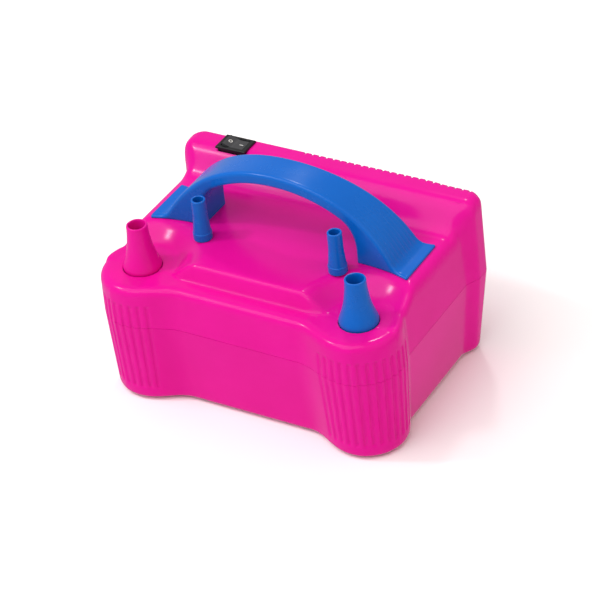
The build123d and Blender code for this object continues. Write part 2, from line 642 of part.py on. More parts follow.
def field_coils():
    """A coil round each pole neck, with its end turns above and below the stack."""
    low, high = STATOR_Z
    coils = []
    for y0, y1 in ((14.8, 17.3), (-17.3, -14.8)):
        ring = block(-9.5, 9.5, y0, y1, low - 3.5, high + 3.5)
        hollow = block(-4.6, 4.6, -30, 30, low - 0.05, high + 0.05)
        keep_out = rod(ARMATURE_R + POLE_GAP + 3.3, low - 10, high + 10)
        coils.append(ring - hollow - keep_out)
    return group(coils)


def brush_bracket():
    """Bridge over the motor that seats the upper bearing and carries the brush holders."""
    z_top = BRACKET_Z
    bridge = block(-23, 23, -23, 23, z_top - 2.4, z_top)
    bridge -= [block(-30, 30, 12, 30, 0, 100), block(-30, 30, -30, -12, 0, 100)]
    for x, y in both_sides(STUDS):
        bridge += rod(3.4, STATOR_Z[1], z_top, x, y)
        bridge += block(x - 3, x + 3, min(y, y * 0.5), max(y, y * 0.5), z_top - 2.4, z_top)
    bridge += rod(8.8, TOP_BEARING_Z[0] - 0.5, z_top)
    bridge -= rod(6.5, TOP_BEARING_Z[0] - 2, TOP_BEARING_Z[1])
    bridge -= rod(4.2, 0, 100)
    for s in (1, -1):
        x0, x1 = sorted((s * 15.0, s * 22.0))
        bridge += block(x0, x1, -4.5, 4.5, COMMUTATOR_Z[1] - 0.4, z_top - 2.4)
    for x, y in both_sides(STUDS):
        bridge -= rod(PILOT_R, STATOR_Z[1] - 1, z_top + 1, x, y)
    return bridge


def brush_z():
    return (COMMUTATOR_Z[0] + COMMUTATOR_Z[1]) / 2


def brush_holders():
    z = brush_z()
    pair = []
    for s in (1, -1):
        x0, x1 = sorted((s * 9.6, s * 24.0))
        slide = block(-30, 30, -2.5, 2.5, z - 2.5, z + 2.5)
        pair.append(block(x0, x1, -3.4, 3.4, z - 3.3, z + 3.3) - slide)
    return group(pair)


def carbon_brushes():
    z = brush_z()
    face = rod(8.05, z - 5, z + 5)
    pair = []
    for s in (1, -1):
        x0, x1 = sorted((s * 6.0, s * 16.5))
        pair.append(block(x0, x1, -2.45, 2.45, z - 2.45, z + 2.45) - face)
    return group(pair)


def brush_springs():
    """Coil springs behind the brushes, with the cap that closes each holder."""
    z = brush_z()
    pair = []
    for s in (1, -1):
        path = Helix(pitch=1.5, height=6.2, radius=1.7)
        wire = sweep(Plane(origin=path @ 0, z_dir=path % 0) * Circle(0.3), path=path, is_frenet=True)
        spring = Pos(s * 16.85, 0, z) * Rot(0, 90 * s, 0) * wire
        x0, x1 = sorted((s * 23.3, s * 24.0))
        pair.append(spring)
        pair.append(block(x0, x1, -2.5, 2.5, z - 2.5, z + 2.5))
    return group(pair)


def motor_screws():
    tip = HOUSING_Z[1] + 3
    return group([screw(x, y, BRACKET_Z, tip, SMALL_SCREW_R, 2.8, 1.8) for x, y in both_sides(STUDS)])


def rubber_mounts():
    z0 = HOUSING_Z[0] - 2.5
    return group([tube(4.6, PILOT_R, z0, HOUSING_Z[0], x, y) for x, y in MOUNTS])


def mount_screws():
    z0 = HOUSING_Z[0]
    return group([screw(x, y, z0 + 2.5, CASE_Z + 2, SMALL_SCREW_R, 3.0, 1.8) for x, y in MOUNTS])


BLOWER_PARTS = {
    "fan_housing": fan_housing, "housing_cover": housing_cover, "impeller": impeller,
    "impeller_nut": impeller_nut,
    "motor_shaft": motor_shaft, "armature_core": armature_core, "armature_winding": armature_winding,
    "commutator": commutator, "bearings": bearings, "stator_core": stator_core, "field_coils": field_coils,
    "brush_bracket": brush_bracket, "brush_holders": brush_holders, "carbon_brushes": carbon_brushes,
    "brush_springs": brush_springs, "motor_screws": motor_screws, "rubber_mounts": rubber_mounts,
    "mount_screws": mount_screws,
}

CASE_PARTS = {
    "upper_shell": upper_shell, "lower_shell": lower_shell, "carry_handle": handle, "case_screws": case_screws,
    "handle_screws": handle_screws, "rubber_feet": rubber_feet, "cord_gland": cord_gland,
    "left_nozzle": left_nozzle, "right_nozzle": right_nozzle, "right_nozzle_guide": right_nozzle_guide,
    "right_nozzle_spring": right_nozzle_spring,
    "switch_body": switch_body, "switch_rocker": switch_rocker, "switch_terminals": switch_terminals,
    "microswitch_body": microswitch_body, "microswitch_lever": microswitch_lever,
    "microswitch_plunger": microswitch_plunger, "microswitch_terminals": microswitch_terminals,
}


def write(name, part):
    export_step(part, f"parts/{name}.step")


for name, make in CASE_PARTS.items():
    write(name, make())

write("right_slim_nozzle", slim_nozzle())
write("left_slim_nozzle", mirrored(slim_nozzle()))
write("right_outlet_duct", outlet_duct(70.0, True))
write("left_outlet_duct", mirrored(outlet_duct(LEDGE_Z - 4.3, False)))

for name, make in BLOWER_PARTS.items():
    unit = Pos(*BLOWER, 0) * make()
    write(f"right_{name}", unit)
    write(f"left_{name}", mirrored(unit))
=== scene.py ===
"""Looks of the electric balloon pump: moulded shells, nozzles, handle, switch, floor and lights."""

import math

import bmesh
import bpy
import numpy as np
from mathutils import Matrix, Vector


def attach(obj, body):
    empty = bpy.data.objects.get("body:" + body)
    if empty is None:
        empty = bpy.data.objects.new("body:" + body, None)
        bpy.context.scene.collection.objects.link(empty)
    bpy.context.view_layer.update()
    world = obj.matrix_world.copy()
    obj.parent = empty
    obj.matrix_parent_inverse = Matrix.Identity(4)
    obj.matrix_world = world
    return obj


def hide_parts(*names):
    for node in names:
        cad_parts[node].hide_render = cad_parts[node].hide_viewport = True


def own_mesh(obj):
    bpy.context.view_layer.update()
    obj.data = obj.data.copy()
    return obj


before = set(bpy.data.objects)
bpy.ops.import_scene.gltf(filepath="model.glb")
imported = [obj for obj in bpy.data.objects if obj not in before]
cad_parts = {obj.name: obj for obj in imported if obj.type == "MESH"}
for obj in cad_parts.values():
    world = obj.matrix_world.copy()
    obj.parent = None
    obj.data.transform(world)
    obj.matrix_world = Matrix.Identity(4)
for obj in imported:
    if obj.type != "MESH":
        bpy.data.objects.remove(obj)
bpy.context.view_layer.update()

MM = 0.001

# ---------------------------------------------------------------- case form, in millimetres
WALL = 2.4
CASE_Z, SPLIT_Z = 1.2, 57.4
LEDGE_Z, PLATFORM_Z, DECK_Z = 84.6, 94.5, 111.0
SEAM = 0.10                      # half of the gap between the two shells

SIDE_X = (92.8, 98.5, 0.058)     # half width at the base, at the split, draft above the split
FRONT_Y = (56.3, 61.5, 0.070)
REAR_Y = (64.7, 70.1, 0.0)
TURRET_R = (24.6, 26.8, 0.022)
TURRET = (74.5, -43.0)
PILLAR_X = (97.6, 103.0, 0.020)  # rear corners, which stand proud of the side walls
PILLAR_Y = (44.0, 56.0)          # stretch over which the bulge grows
CORNER_R = 8.0

STEP = ((-47.8, LEDGE_Z), (-43.0, PLATFORM_Z))
SLOPE = ((42.0, PLATFORM_Z), (52.5, DECK_Z))
DISH_R = (24.0, 31.6)
MEET = 10.0                      # how softly the dish meets the platform and the step

FLUTE_MID, FLUTE_STEP, FLUTE_COUNT = -54.0, 11.6, 13
FLUTE_HALF, FLUTE_DEPTH = 1.4, 1.0
FLUTE_Z = (9.5, 73.5)

VENT_X, VENT_STEP = (-21.0, 95.0), 4.95
VENT_HALF, VENT_DEPTH, VENT_Z = 0.85, 1.9, 66.0

HOLE_R, FIXED_HOLE_R = 12.35, 12.1
PIT_FLOOR = 6.0                  # depth of the wells under the outlets and the switch
SWITCH, SWITCH_CUT = (-66.4, 60.0), (19.2, 13.0)

STEP_EASE, SLOPE_EASE, DISH_EASE, FLOOR_EASE = 3.5, 11.0, 8.0, 1.0   # softness of the roof's bends
TOP_EDGE, SIDE_EDGE, REAR_EDGE, BASE_EDGE = 6.0, 2.0, 3.6, 4.8       # rounding of the outer edges
TOWER_BLEND, FRONT_BLEND = 1.2, 12.0                                 # how the towers meet the walls


def at(wall, z):
    """Distance of a drafted wall from the middle of the case at height z."""
    low = wall[0] + (wall[1] - wall[0]) * (z - CASE_Z) / (SPLIT_Z - CASE_Z)
    return np.where(z < SPLIT_Z, low, wall[1] - wall[2] * (z - SPLIT_Z))


def smooth_min(a, b, k):
    h = np.clip(k - np.abs(a - b), 0, None) / k
    return np.minimum(a, b) - h * h * k / 4


def smooth_max(a, b, k):
    return -smooth_min(-a, -b, k)


def smooth_step(a, b, t):
    u = np.clip((t - a) / (b - a), 0, 1)
    return u * u * (3 - 2 * u)


def round_corner(dx, dy, r):
    """Distance to a corner of two walls, rounded by r."""
    qx, qy = dx + r, dy + r
    return np.hypot(np.clip(qx, 0, None), np.clip(qy, 0, None)) + np.minimum(np.maximum(qx, qy), 0) - r


def incline(y, foot, top, k):
    """Height that climbs in a straight slope from foot to top, each a (y, z), with soft ends."""
    slope = (top[1] - foot[1]) / (top[0] - foot[0])
    line = foot[1] + slope * (y - foot[0])
    return smooth_min(smooth_max(line, foot[1], k), top[1], k) - foot[1]


def roof_height(x, y):
    """Height of the top of the case over a point of its plan."""
    climb = incline(y, *STEP, STEP_EASE)
    radius = np.hypot(np.abs(x) - TURRET[0], y - TURRET[1])
    rise = (PLATFORM_Z - LEDGE_Z) / (DISH_R[1] - DISH_R[0])
    bowl = smooth_max((radius - DISH_R[0]) * rise, 0 * radius, DISH_EASE)
    lower = smooth_max(smooth_min(climb, bowl, MEET), 0 * bowl, FLOOR_EASE)
    return LEDGE_Z + lower + incline(y, *SLOPE, SLOPE_EASE)


def plan_distance(x, y, z, notches):
    """Distance to the side walls, in plan."""
    ax = np.abs(x)
    bulge = (at(PILLAR_X, z) - at(SIDE_X, z)) * smooth_step(*PILLAR_Y, y)
    rear = y - at(REAR_Y, z)
    if notches:
        phase = (x - VENT_X[0]) / VENT_STEP
        off = (phase - np.round(phase)) * VENT_STEP
        run = (x > VENT_X[0] - 1) & (x < VENT_X[1] + 1)
        groove = np.clip(1 - (off / VENT_HALF) ** 2, 0, 1) * run * smooth_step(VENT_Z, VENT_Z + 1.5, z)
        rear = rear + VENT_DEPTH * groove
    body = round_corner(ax - at(SIDE_X, z) - bulge, rear, CORNER_R)
    body = np.maximum(body, TURRET[1] - y)
    nose = np.maximum(np.maximum(ax - TURRET[0], -at(FRONT_Y, z) - y), y + 30)
    body = np.minimum(body, nose)
    dx, dy = ax - TURRET[0], y - TURRET[1]
    radius, angle = np.hypot(dx, dy), np.degrees(np.arctan2(dy, dx))
    index = (angle - FLUTE_MID) / FLUTE_STEP
    near = np.abs(index) < FLUTE_COUNT / 2
    arc = np.radians((index - np.round(index)) * FLUTE_STEP) * radius
    ends = smooth_step(FLUTE_Z[0], FLUTE_Z[0] + 2, z) * (1 - smooth_step(FLUTE_Z[1] - 2, FLUTE_Z[1], z))
    flute = FLUTE_DEPTH * np.clip(1 - (arc / FLUTE_HALF) ** 2, 0, 1) * near * ends
    tower = radius - at(TURRET_R, z) + flute
    blend = TOWER_BLEND + FRONT_BLEND * (1 - smooth_step(-56, -46, y))
    return smooth_min(body, tower, blend)


def pit(x, y, floor, z):
    """Distance to the wells that are cut through the top for the outlets and the switch."""
    radius = np.hypot(np.abs(x) - TURRET[0], y - TURRET[1])
    well = np.maximum(radius - FIXED_HOLE_R, (LEDGE_Z - floor) - z)
    slot = np.maximum(np.abs(x - SWITCH[0]) - SWITCH_CUT[0] / 2, np.abs(y - SWITCH[1]) - SWITCH_CUT[1] / 2)
    return np.minimum(well, np.maximum(slot, (DECK_Z - floor) - z))


def upper_distance(p):
    x, y, z = p
    plan = plan_distance(x, y, z, True)
    step = 0.05
    h = roof_height(x, y)
    tilt = np.hypot((roof_height(x + step, y) - h) / step, (roof_height(x, y + step) - h) / step)
    roof = (z - h) / np.sqrt(1 + tilt ** 2)
    side = smooth_step(60, 80, np.abs(x)) * smooth_step(-18, -8, y)
    rear = smooth_step(60, 66, y) * (1 - 0.8 * smooth_step(92, 99, np.abs(x)))
    edge = TOP_EDGE + SIDE_EDGE * side - REAR_EDGE * rear
    return np.maximum(smooth_max(plan, roof, edge), -pit(x, y, PIT_FLOOR, z))


def lower_distance(p):
    x, y, z = p
    return smooth_max(plan_distance(x, y, z, False), CASE_Z - z, BASE_EDGE)


# ---------------------------------------------------------------- meshing a distance field
def skin_mesh(distance, low, high, step):
    """Quads on the zero surface of a distance function, found cell by cell and drawn onto the surface."""
    axes = [np.arange(a, b + s, s) for a, b, s in zip(low, high, step)]
    grid = np.meshgrid(*axes, indexing="ij", sparse=True)
    field = distance(grid)
    inside = field < 0
    corners = [(i, j, k) for i in (0, 1) for j in (0, 1) for k in (0, 1)]
    shape = [n - 1 for n in field.shape]

    def shifted(array, i, j, k):
        return array[i:i + shape[0], j:j + shape[1], k:k + shape[2]]

    count = sum(shifted(inside, *c).astype(np.int8) for c in corners)
    active = np.argwhere((count > 0) & (count < 8))
    number = -np.ones(shape, np.int64)
    number[tuple(active.T)] = np.arange(len(active))
    total, weight = np.zeros((len(active), 3)), np.zeros(len(active))
    for a in range(3):
        for b in ((0, 0), (0, 1), (1, 0), (1, 1)):
            start = np.insert(np.array(b), a, 0)
            end = start.copy()
            end[a] = 1
            f0 = field[tuple((active + start).T)]
            f1 = field[tuple((active + end).T)]
            cross = (f0 < 0) != (f1 < 0)
            t = np.where(cross, f0 / np.where(cross, f0 - f1, 1), 0)
            total += np.where(cross[:, None], start + t[:, None] * (end - start), 0)
            weight += cross
    points = (active + total / weight[:, None]) * np.array(step) + np.array([a[0] for a in axes])
    faces = []
    for a in range(3):
        b, c = (a + 1) % 3, (a + 2) % 3
        head = [slice(0, -1) if n == a else slice(1, -1) for n in range(3)]
        tail = [slice(1, None) if n == a else slice(1, -1) for n in range(3)]
        first, second = inside[tuple(head)], inside[tuple(tail)]
        for flip, mask in ((False, first & ~second), (True, ~first & second)):
            cells = np.argwhere(mask) + np.array([0 if n == a else 1 for n in range(3)])
            ring = []
            for db, dc in ((0, 0), (-1, 0), (-1, -1), (0, -1)):
                shift = np.zeros(3, np.int64)
                shift[b], shift[c] = db, dc
                ring.append(number[tuple((cells + shift).T)])
            quad = np.stack(ring, 1)
            faces.append(quad[:, ::-1] if flip else quad)
    faces = np.concatenate(faces)
    points = onto_surface(points, distance)
    for _ in range(3):
        points = onto_surface(relaxed(points, faces, 0.6), distance, 2)
    return points, faces


def relaxed(points, faces, share):
    """Moves every point a share of the way to the mean of its neighbours, which evens out the quads."""
    ends = np.concatenate([faces[:, (i, (i + 1) % 4)] for i in range(4)])
    count = np.bincount(ends[:, 0], minlength=len(points))
    total = [np.bincount(ends[:, 0], points[ends[:, 1], a], len(points)) for a in range(3)]
    mean = np.stack(total, 1) / np.clip(count, 1, None)[:, None]
    return points + share * (mean - points) * (count > 0)[:, None]


def onto_surface(points, distance, rounds=3):
    """Moves points along the field's gradient until they lie on the surface."""
    eps = 0.02
    for _ in range(rounds):
        value = distance(points.T)
        slope = np.stack([(distance((points + eps * axis).T) - value) / eps for axis in np.eye(3)], 1)
        size = np.clip((slope ** 2).sum(1), 0.25, None)
        move = -(value / size)[:, None] * slope
        length = np.linalg.norm(move, axis=1, keepdims=True)
        points = points + move * np.clip(0.5 / np.clip(length, 1e-9, None), None, 1)
    return points


def new_object(name, points, faces):
    mesh = bpy.data.meshes.new(name)
    mesh.from_pydata(np.asarray(points).tolist(), [], faces if isinstance(faces, list) else faces.tolist())
    mesh.validate()
    mesh.update()
    obj = bpy.data.objects.new(name, mesh)
    bpy.context.scene.collection.objects.link(obj)
    return obj


# ---------------------------------------------------------------- cutters and booleans
ROD_SIDES = 96


def primitive(kind, size, centre):
    """A closed box or cylinder to add to or take from a shell. size is (x, y, z) or (radius, height)."""
    bm = bmesh.new()
    if kind == "box":
        bmesh.ops.create_cube(bm, size=1.0)
        bmesh.ops.scale(bm, vec=size, verts=bm.verts)
    else:
        radius, height = size
        bmesh.ops.create_cone(bm, cap_ends=True, segments=ROD_SIDES, radius1=radius, radius2=radius,
                              depth=height)
    bmesh.ops.translate(bm, vec=centre, verts=bm.verts)
    mesh = bpy.data.meshes.new("cutter")
    bm.to_mesh(mesh)
    bm.free()
    obj = bpy.data.objects.new("cutter", mesh)
    bpy.context.scene.collection.objects.link(obj)
    return obj


def rod(r, z0, z1, x, y):
    return primitive("rod", (r, z1 - z0), (x, y, (z0 + z1) / 2))


def slab(x0, x1, y0, y1, z0, z1):
    return primitive("box", (x1 - x0, y1 - y0, z1 - z0), ((x0 + x1) / 2, (y0 + y1) / 2, (z0 + z1) / 2))


def combine(obj, others, operation):
    """Adds or takes the other objects, one after another, and removes them."""
    for other in others:
        mod = obj.modifiers.new("combine", "BOOLEAN")
        mod.operation, mod.solver, mod.object = operation, "MANIFOLD", other
    graph = bpy.context.evaluated_depsgraph_get()
    mesh = bpy.data.meshes.new_from_object(obj.evaluated_get(graph))
    obj.modifiers.clear()
    old, obj.data = obj.data, mesh
    bpy.data.meshes.remove(old)
    for other in others:
        data = other.data
        bpy.data.objects.remove(other)
        bpy.data.meshes.remove(data)
    return obj


def finished(obj, sharp_deg):
    """From millimetres to metres, with smooth faces and edges sharp above an angle."""
    obj.data.transform(Matrix.Scale(MM, 4))
    obj.data.polygons.foreach_set("use_smooth", np.full(len(obj.data.polygons), True))
    obj.data.set_sharp_from_angle(angle=math.radians(sharp_deg))
    obj.data.update()
    return obj


# ---------------------------------------------------------------- the two shells
LOW, HIGH = (-107.0, -74.0), (107.0, 74.0)
PAST_X, PAST_Y = 120, 90         # half size of a block that takes in the whole plan
FINE, COARSE = (0.8, 0.8, 0.8), (2.0, 2.0, 2.0)
BOSSES, BOSS_Z = ((36.0, -50.0), (91.0, 59.0), (20.0, 60.0)), 6.0
BOSS_R, TOP_BOSS_R, WELL_R, WELL_Z = 4.4, 4.5, 3.6, 45
SCREW_R, SCREW_Z = 1.75, 44
FEET, FOOT_R, FOOT_POCKET = ((82.0, 48.0), (74.5, -43.0)), 7.1, 0.9
MOUNTS, MOUNT_R, MOUNT_Z = ((-34.0, -24.0), (-30.0, 32.0), (30.0, 36.0)), 4.0, 8.5
FAN, GRILLE_R, GRILLE_PITCH, GRILLE_HALF = (46.0, 10.0), 19.0, 5.0, 1.1
GLAND, GLAND_R, REAR_WALL_Y = (-50.0, 30.0), 5.0, 68
SLIM, PEG_R, PEG_WALL, PEG_HEIGHT = (46.7, -15.7), 4.1, 1.6, 9.0
HANDLE_SCREWS = ((68.0, 2.0), (68.0, 18.0))
VENT_SLOT_Z, VENT_SLOT_HALF, VENT_END, VENT_CLEAR = (72.0, 100.0), 0.65, 82, 6
TONGUE_Z, TONGUE_GAP, RIM_WALL = 2.6, 0.15, 1.4


def both(points):
    return [(side * x, y) for x, y in points for side in (1, -1)]


def form(name, distance, z0, z1, step, inset=0.0):
    """Closed mesh of a distance field grown inwards by inset, between two levels."""
    low, high = (*LOW, z0 - 3 * step[2]), (*HIGH, z1 + 3 * step[2])

    def field(p):
        return np.maximum(np.maximum(distance(p) + inset, z0 - p[2]), p[2] - z1)

    return new_object(name, *skin_mesh(field, low, high, step))


def make_upper_shell():
    shell = form("upper_skin", upper_distance, SPLIT_Z - 4, DECK_Z + 3, FINE)
    hollow = form("upper_hollow", upper_distance, SPLIT_Z - 8, DECK_Z + 3, COARSE, WALL)
    below = slab(-PAST_X, PAST_X, -PAST_Y, PAST_Y, SPLIT_Z - 12, SPLIT_Z + SEAM)
    combine(shell, [below, hollow], "DIFFERENCE")
    added = [rod(PEG_R, PLATFORM_Z - 1, PLATFORM_Z + PEG_HEIGHT, x, y) for x, y in both([SLIM])]
    for x, y in both(BOSSES):
        added.append(rod(TOP_BOSS_R, SPLIT_Z + SEAM, (LEDGE_Z if y < 0 else DECK_Z) - 1.2, x, y))
    combine(shell, added, "UNION")
    cuts = [rod(HOLE_R, LEDGE_Z - 8, LEDGE_Z + 3, *TURRET)]
    cuts.append(rod(FIXED_HOLE_R, LEDGE_Z - 8, LEDGE_Z + 3, -TURRET[0], TURRET[1]))
    bore, top = PEG_R - PEG_WALL, PLATFORM_Z + PEG_HEIGHT + 1
    cuts += [rod(bore, PLATFORM_Z - 5, top, x, y) for x, y in both([SLIM])]
    cuts += [rod(SCREW_R, SPLIT_Z - 1, SPLIT_Z + 16, x, y) for x, y in both(BOSSES)]
    cuts += [rod(SCREW_R, PLATFORM_Z - 6, PLATFORM_Z + 3, x, y) for x, y in both(HANDLE_SCREWS)]
    (x, y), half_x, half_y = SWITCH, SWITCH_CUT[0] / 2, SWITCH_CUT[1] / 2
    cuts.append(slab(x - half_x, x + half_x, y - half_y, y + half_y, 90, 120))
    for i in range(int((VENT_END - VENT_X[0]) / VENT_STEP)):
        x = VENT_X[0] + i * VENT_STEP
        if abs(x - BOSSES[2][0]) > VENT_CLEAR:
            cuts.append(slab(x - VENT_SLOT_HALF, x + VENT_SLOT_HALF, 62, 80, *VENT_SLOT_Z))
    return finished(combine(shell, cuts, "DIFFERENCE"), 40)


def make_lower_shell():
    top = SPLIT_Z - SEAM
    shell = form("lower_skin", lower_distance, 0, SPLIT_Z + 4, FINE)
    combine(shell, [slab(-PAST_X, PAST_X, -PAST_Y, PAST_Y, top, SPLIT_Z + 20)], "DIFFERENCE")
    tongue = form("tongue", lower_distance, SPLIT_Z - 6, SPLIT_Z + TONGUE_Z, COARSE, WALL + TONGUE_GAP)
    combine(shell, [tongue], "UNION")
    hollow = form("lower_hollow", lower_distance, CASE_Z + WALL, SPLIT_Z + 9, COARSE, WALL + RIM_WALL)
    wide = form("wide_hollow", lower_distance, CASE_Z + WALL, SPLIT_Z - 5, COARSE, WALL)
    combine(shell, [hollow, wide], "DIFFERENCE")
    added = [rod(BOSS_R, BOSS_Z, top, x, y) for x, y in both(BOSSES)]
    for x, y in MOUNTS:
        added += [rod(MOUNT_R, CASE_Z + 1, MOUNT_Z, s * (FAN[0] + x), FAN[1] + y) for s in (1, -1)]
    combine(shell, added, "UNION")
    cuts = [rod(WELL_R, -1, WELL_Z, x, y) for x, y in both(BOSSES)]
    cuts += [rod(SCREW_R, SCREW_Z, SPLIT_Z + 5, x, y) for x, y in both(BOSSES)]
    cuts += [rod(FOOT_R, -1, CASE_Z + FOOT_POCKET, x, y) for x, y in both(FEET)]
    for side in (1, -1):
        for i in range(-3, 4):
            half = math.sqrt(GRILLE_R ** 2 - (i * GRILLE_PITCH) ** 2)
            x, y = side * FAN[0] + i * GRILLE_PITCH, FAN[1]
            cuts.append(slab(x - GRILLE_HALF, x + GRILLE_HALF, y - half, y + half, -1, CASE_Z + WALL + 1))
    bore = primitive("rod", (GLAND_R, 20), (0, 0, 0))
    place = Matrix.Translation((GLAND[0], REAR_WALL_Y, GLAND[1]))
    bore.data.transform(place @ Matrix.Rotation(math.pi / 2, 4, "X"))
    cuts.append(bore)
    return finished(combine(shell, cuts, "DIFFERENCE"), 40)


# ---------------------------------------------------------------- the strap handle
HANDLE_Z, RING_R, RING_CENTRE = 143.6, (90.0, 82.0), 53.6
LEG_X, LIP_X, LIP_H = 53.0, 88.9, 1.6
HANDLE_REAR = ((0.0, 16.6), (LEG_X, 22.8), (LIP_X, 29.3))     # (x, y) along the rear edge
HANDLE_FRONT = ((0.0, -6.0), (LEG_X, -4.6), (LIP_X, -9.8))
GROOVES, GROOVE_V, GROOVE_X, GROOVE_DEPTH = 8, (0.13, 0.87), (50.0, 80.5), 0.22
FLARE, SINK = 4.5, 0.8           # hollow between the arch and its lip, and how far a foot beds in the case


def even_curve(points):
    """Polynomial in x squared and x to the fourth through three points, the same on both sides."""
    x, y = np.array(points).T
    a, b, c = np.linalg.solve(np.stack([x ** 0, x ** 2, x ** 4], 1), y)
    return lambda u: a + b * u ** 2 + c * u ** 4


rear_edge, front_edge = even_curve(HANDLE_REAR), even_curve(HANDLE_FRONT)


def handle_distance(p):
    x, y, z = p
    ax, r = np.abs(x), np.hypot(x, z - RING_CENTRE)
    foot = np.maximum(ax - LIP_X, z - PLATFORM_Z - LIP_H)
    back_y, front_y = rear_edge(x), front_edge(x)
    v = (y - front_y) / (back_y - front_y)
    lane = (v - GROOVE_V[0]) / (GROOVE_V[1] - GROOVE_V[0]) * (GROOVES - 1)
    valley = np.clip(1 - ((lane - np.round(lane)) / 0.24) ** 2, 0, 1) * (lane > -0.5) * (lane < GROOVES - 0.5)
    run = smooth_step(GROOVE_X[0], GROOVE_X[0] + 9, x) * (1 - smooth_step(GROOVE_X[1] - 2, GROOVE_X[1], x))
    outer = smooth_min(r - RING_R[0], foot, FLARE) + GROOVE_DEPTH * valley * run
    loop = smooth_max(r - RING_R[1], ax - LEG_X, 10.0)
    side = np.maximum(smooth_max(outer, -loop, 2.0), PLATFORM_Z - SINK - z)
    return smooth_max(side, np.maximum(y - back_y, front_y - y), 2.6)


def make_handle():
    low, high = (-LIP_X - 3, -12.0, PLATFORM_Z - 3), (LIP_X + 3, 33.0, HANDLE_Z + 3)
    return finished(new_object("handle", *skin_mesh(handle_distance, low, high, (0.6, 0.55, 0.6))), 45)


for make, name, node, slot in ((make_upper_shell, "upper_case_skin", "upper_shell", "pink_plastic"),
                               (make_lower_shell, "lower_case_skin", "lower_shell", "pink_plastic"),
                               (make_handle, "strap_handle", "carry_handle", "blue_plastic")):
    piece = make()
    piece.name = name
    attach(piece, "case")
    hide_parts(node)


# ---------------------------------------------------------------- the two bell nozzles
# (height above the ledge, radius)
BELL = ((-2.7, 11.4), (-0.2, 11.85), (0.9, 12.0), (2.1, 11.85), (4.0, 11.2), (7.5, 9.9), (12.5, 8.45),
        (17.0, 7.6), (22.0, 6.95), (26.5, 6.6), (29.2, 6.5))
RIM = ((29.7, 6.35), (29.95, 6.0), (30.0, 5.75), (29.85, 5.4), (29.3, 5.15), (28.6, 5.0))
BORE_Z, STEM_WALL, FLANGE_R, FLANGE_Z = 12.0, (8.0, 9.5), 14.2, (-4.2, -2.7)
BELL_SIDES, BELL_STEPS = 112, 5
FIXED_STEM_Z, PRESS_STEM_Z = -18.6, -22.6


def smooth_profile(points):
    """Catmull-Rom curve through points."""
    p = np.array([points[0], *points, points[-1]], float)
    t = np.linspace(0, 1, BELL_STEPS, endpoint=False)[:, None]
    runs = []
    for a, b, c, d in zip(p, p[1:], p[2:], p[3:]):
        runs.append(b + (c - a) * t / 2 + (2 * a - 5 * b + 4 * c - d) * t ** 2 / 2
                    + (3 * b - a - 3 * c + d) * t ** 3 / 2)
    return np.concatenate([*runs, p[-1:]])


def bell_nozzle(name, x, y, stem_z):
    """Lathe-turned bell with an open bore and a stem inside the case, as one closed skin."""
    inside = [(BORE_Z, RIM[-1][1]), (2.0, STEM_WALL[0]), (stem_z, STEM_WALL[0]), (stem_z, STEM_WALL[1]),
              (FLANGE_Z[0], STEM_WALL[1]), (FLANGE_Z[0], FLANGE_R), (FLANGE_Z[1], FLANGE_R)]
    profile, sides = np.concatenate([smooth_profile(BELL), RIM, inside]), BELL_SIDES
    turns = 2 * np.pi * np.arange(sides) / sides
    ring = np.stack([np.cos(turns), np.sin(turns)], 1)
    points = [np.column_stack([x + r * ring[:, 0], y + r * ring[:, 1], np.full(sides, LEDGE_Z + h)])
              for h, r in profile]
    i, j = np.meshgrid(np.arange(len(profile)), np.arange(sides), indexing="ij")
    up, side = (i + 1) % len(profile), (j + 1) % sides
    faces = np.stack([i * sides + j, i * sides + side, up * sides + side, up * sides + j], -1)
    return finished(new_object(name, np.concatenate(points), faces.reshape(-1, 4)), 40)


for name, side, node, body, stem_z, slot in (
        ("pink_bell", -1, "left_nozzle", "case", FIXED_STEM_Z, "pink_plastic"),
        ("blue_bell", 1, "right_nozzle", "right_nozzle", PRESS_STEM_Z, "blue_plastic")):
    piece = bell_nozzle(name, side * TURRET[0], TURRET[1], stem_z)
    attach(piece, body)
    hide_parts(node)


# ---------------------------------------------------------------- return spring of the press nozzle
COIL_R, WIRE_R, COIL_Z, TURNS, PRESS = 11.7, 0.55, (72.0, 80.4), 4.0, 3.5
COIL_STEPS, WIRE_SIDES = 48, 12


def coil_spring(name, x, y):
    """Round wire wound on a helix, with flat ends."""
    sides = WIRE_SIDES
    t = np.linspace(0, 2 * np.pi * TURNS, int(COIL_STEPS * TURNS) + 1)
    rise = COIL_Z[1] - COIL_Z[0] - 2 * WIRE_R
    height = COIL_Z[0] + WIRE_R + rise * t / t[-1]
    out = np.stack([np.cos(t), np.sin(t), 0 * t], 1)
    along = np.stack([-COIL_R * np.sin(t), COIL_R * np.cos(t), 0 * t + rise / t[-1]], 1)
    over = np.cross(out, along / np.linalg.norm(along, axis=1, keepdims=True))
    centre = COIL_R * out + np.stack([0 * t + x, 0 * t + y, height], 1)
    a = 2 * np.pi * np.arange(sides) / sides
    ring = np.cos(a)[None, :, None] * out[:, None] + np.sin(a)[None, :, None] * over[:, None]
    points = (centre[:, None] + WIRE_R * ring).reshape(-1, 3)
    i, j = np.meshgrid(np.arange(len(t) - 1), np.arange(sides), indexing="ij")
    k = (j + 1) % sides
    wall = np.stack([i * sides + j, i * sides + k, (i + 1) * sides + k, (i + 1) * sides + j], -1)
    last = (len(t) - 1) * sides
    caps = [list(range(sides))[::-1], list(range(last, last + sides))]
    return new_object(name, points, [*wall.reshape(-1, 4).tolist(), *caps])


spring = coil_spring("press_spring", *TURRET)
bm = bmesh.new()
bm.from_mesh(spring.data)
bmesh.ops.recalc_face_normals(bm, faces=bm.faces)
bm.to_mesh(spring.data)
bm.free()
finished(spring, 50)
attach(spring, "case")
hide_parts("right_nozzle_spring")
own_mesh(spring)


